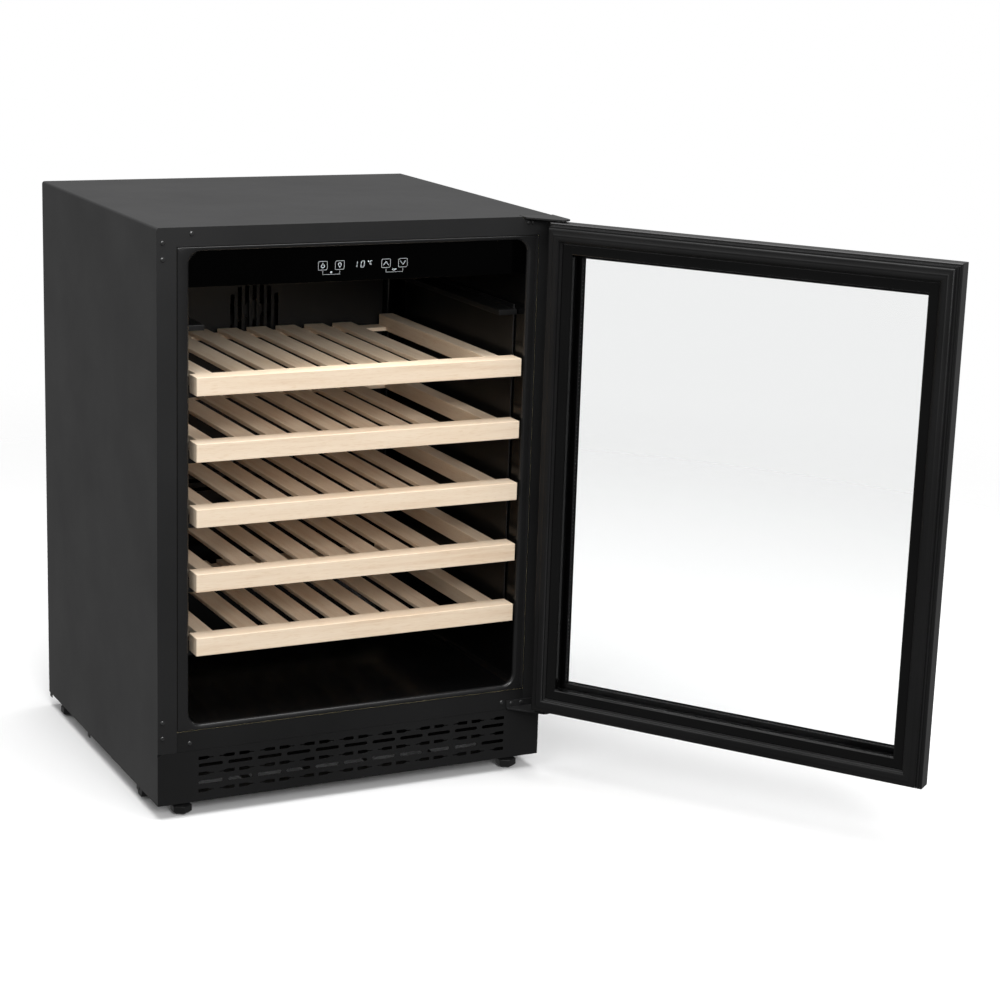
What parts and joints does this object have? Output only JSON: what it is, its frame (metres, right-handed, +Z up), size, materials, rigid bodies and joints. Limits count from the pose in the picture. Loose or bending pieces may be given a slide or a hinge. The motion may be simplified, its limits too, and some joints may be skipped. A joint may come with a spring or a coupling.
{
  "type": "wine cooler",
  "caption": "Black under-counter wine cooler with an open glass door, slide-out beech shelves, a touch control band and a vented kick plate.",
  "frame": {"origin": "on the floor, under the middle of the cabinet (footprint without the door)", "axes": "+X to the right seen from the front, +Y to the back, +Z up; the front faces -Y and the door is hinged at +X"},
  "size_m": [0.9517, 1.0646, 0.831],
  "materials": {
    "case_black": "satin",
    "liner_black": "satin",
    "gloss_black": "gloss",
    "frame_black": "satin",
    "gasket_black": "matte",
    "beech": "satin",
    "clear_glass": "polished",
    "panel_glass": "polished",
    "light_lens": "satin",
    "zinc_steel": "satin",
    "fin_aluminium": "satin",
    "foam": "matte",
    "circuit_board": "satin",
    "foot_black": "satin",
    "compressor_black": "gloss",
    "hinge_black": "satin"
  },
  "bodies": {
    "cabinet": {"outer_wrap": "case_black", "sill_bar": "case_black", "kick_plate": "case_black", "corner_plate_upper_left": "case_black", "corner_plate_upper_right": "case_black", "corner_plate_lower_left": "case_black", "corner_plate_lower_right": "case_black", "back_panel": "zinc_steel", "rear_grille": "zinc_steel", "power_inlet": "foot_black", "base_pan": "zinc_steel", "glide_left": "foot_black", "glide_right": "foot_black", "insulation": "foam", "liner": "liner_black", "shelf_runners_left": "liner_black", "shelf_runners_right": "liner_black", "control_glass": "panel_glass", "control_housing": "liner_black", "control_board": "circuit_board", "light_lens": "light_lens", "duct_cover": "liner_black", "evaporator": "fin_aluminium", "evaporator_fan_frame": "liner_black", "temperature_probe": "light_lens", "compressor": "compressor_black", "condenser": "fin_aluminium", "condenser_fan_frame": "liner_black", "drip_tray": "liner_black", "hinge_bracket_top": "hinge_black", "hinge_bracket_bottom": "hinge_black", "hinge_washer": "light_lens"},
    "door": {"door_stile_hinge": "frame_black", "door_stile_free": "frame_black", "door_rail_top": "frame_black", "door_rail_bottom": "frame_black", "door_bezel": "gloss_black", "door_gasket": "gasket_black", "glass_spacer": "frame_black", "glass_outer": "clear_glass", "glass_inner": "clear_glass", "door_handle": "frame_black"},
    "shelf_1": {"shelf_1_front": "beech", "shelf_1_rack": "beech"},
    "shelf_2": {"shelf_2_front": "beech", "shelf_2_rack": "beech"},
    "shelf_3": {"shelf_3_front": "beech", "shelf_3_rack": "beech"},
    "shelf_4": {"shelf_4_front": "beech", "shelf_4_rack": "beech"},
    "shelf_5": {"shelf_5_front": "beech", "shelf_5_rack": "beech"},
    "foot_front_left_body": {"foot_front_left": "foot_black"},
    "foot_front_right_body": {"foot_front_right": "foot_black"},
    "foot_rear_left_body": {"foot_rear_left": "foot_black"},
    "foot_rear_right_body": {"foot_rear_right": "foot_black"},
    "evaporator_fan": {"evaporator_fan_rotor": "liner_black"},
    "condenser_fan": {"condenser_fan_rotor": "liner_black"}
  },
  "joints": [
    {"name": "door_hinge", "type": "hinge", "parent": "cabinet", "child": "door", "pos_m": [0.2877, -0.305, 0.4665], "axis": [0, 0, 1], "range_deg": [-125.4, 4.6]},
    {"name": "shelf_1_slide", "type": "slide", "parent": "cabinet", "child": "shelf_1", "axis": [0, -1, 0], "range_m": [0, 0.19]},
    {"name": "shelf_2_slide", "type": "slide", "parent": "cabinet", "child": "shelf_2", "axis": [0, -1, 0], "range_m": [0, 0.19]},
    {"name": "shelf_3_slide", "type": "slide", "parent": "cabinet", "child": "shelf_3", "axis": [0, -1, 0], "range_m": [0, 0.19]},
    {"name": "shelf_4_slide", "type": "slide", "parent": "cabinet", "child": "shelf_4", "axis": [0, -1, 0], "range_m": [0, 0.19]},
    {"name": "shelf_5_slide", "type": "slide", "parent": "cabinet", "child": "shelf_5", "axis": [0, -1, 0], "range_m": [0, 0.19]},
    {"name": "foot_front_left_screw", "type": "slide", "parent": "cabinet", "child": "foot_front_left_body", "axis": [0, 0, -1], "range_m": [0, 0.025]},
    {"name": "foot_front_right_screw", "type": "slide", "parent": "cabinet", "child": "foot_front_right_body", "axis": [0, 0, -1], "range_m": [0, 0.025]},
    {"name": "foot_rear_left_screw", "type": "slide", "parent": "cabinet", "child": "foot_rear_left_body", "axis": [0, 0, -1], "range_m": [0, 0.025]},
    {"name": "foot_rear_right_screw", "type": "slide", "parent": "cabinet", "child": "foot_rear_right_body", "axis": [0, 0, -1], "range_m": [0, 0.025]},
    {"name": "evaporator_fan_spin", "type": "hinge", "parent": "cabinet", "child": "evaporator_fan", "pos_m": [0, 0.1665, 0.64], "axis": [0, 1, 0], "continuous": true},
    {"name": "condenser_fan_spin", "type": "hinge", "parent": "cabinet", "child": "condenser_fan", "pos_m": [-0.15, 0.0825, 0.072], "axis": [0, 1, 0], "continuous": true}
  ]
}
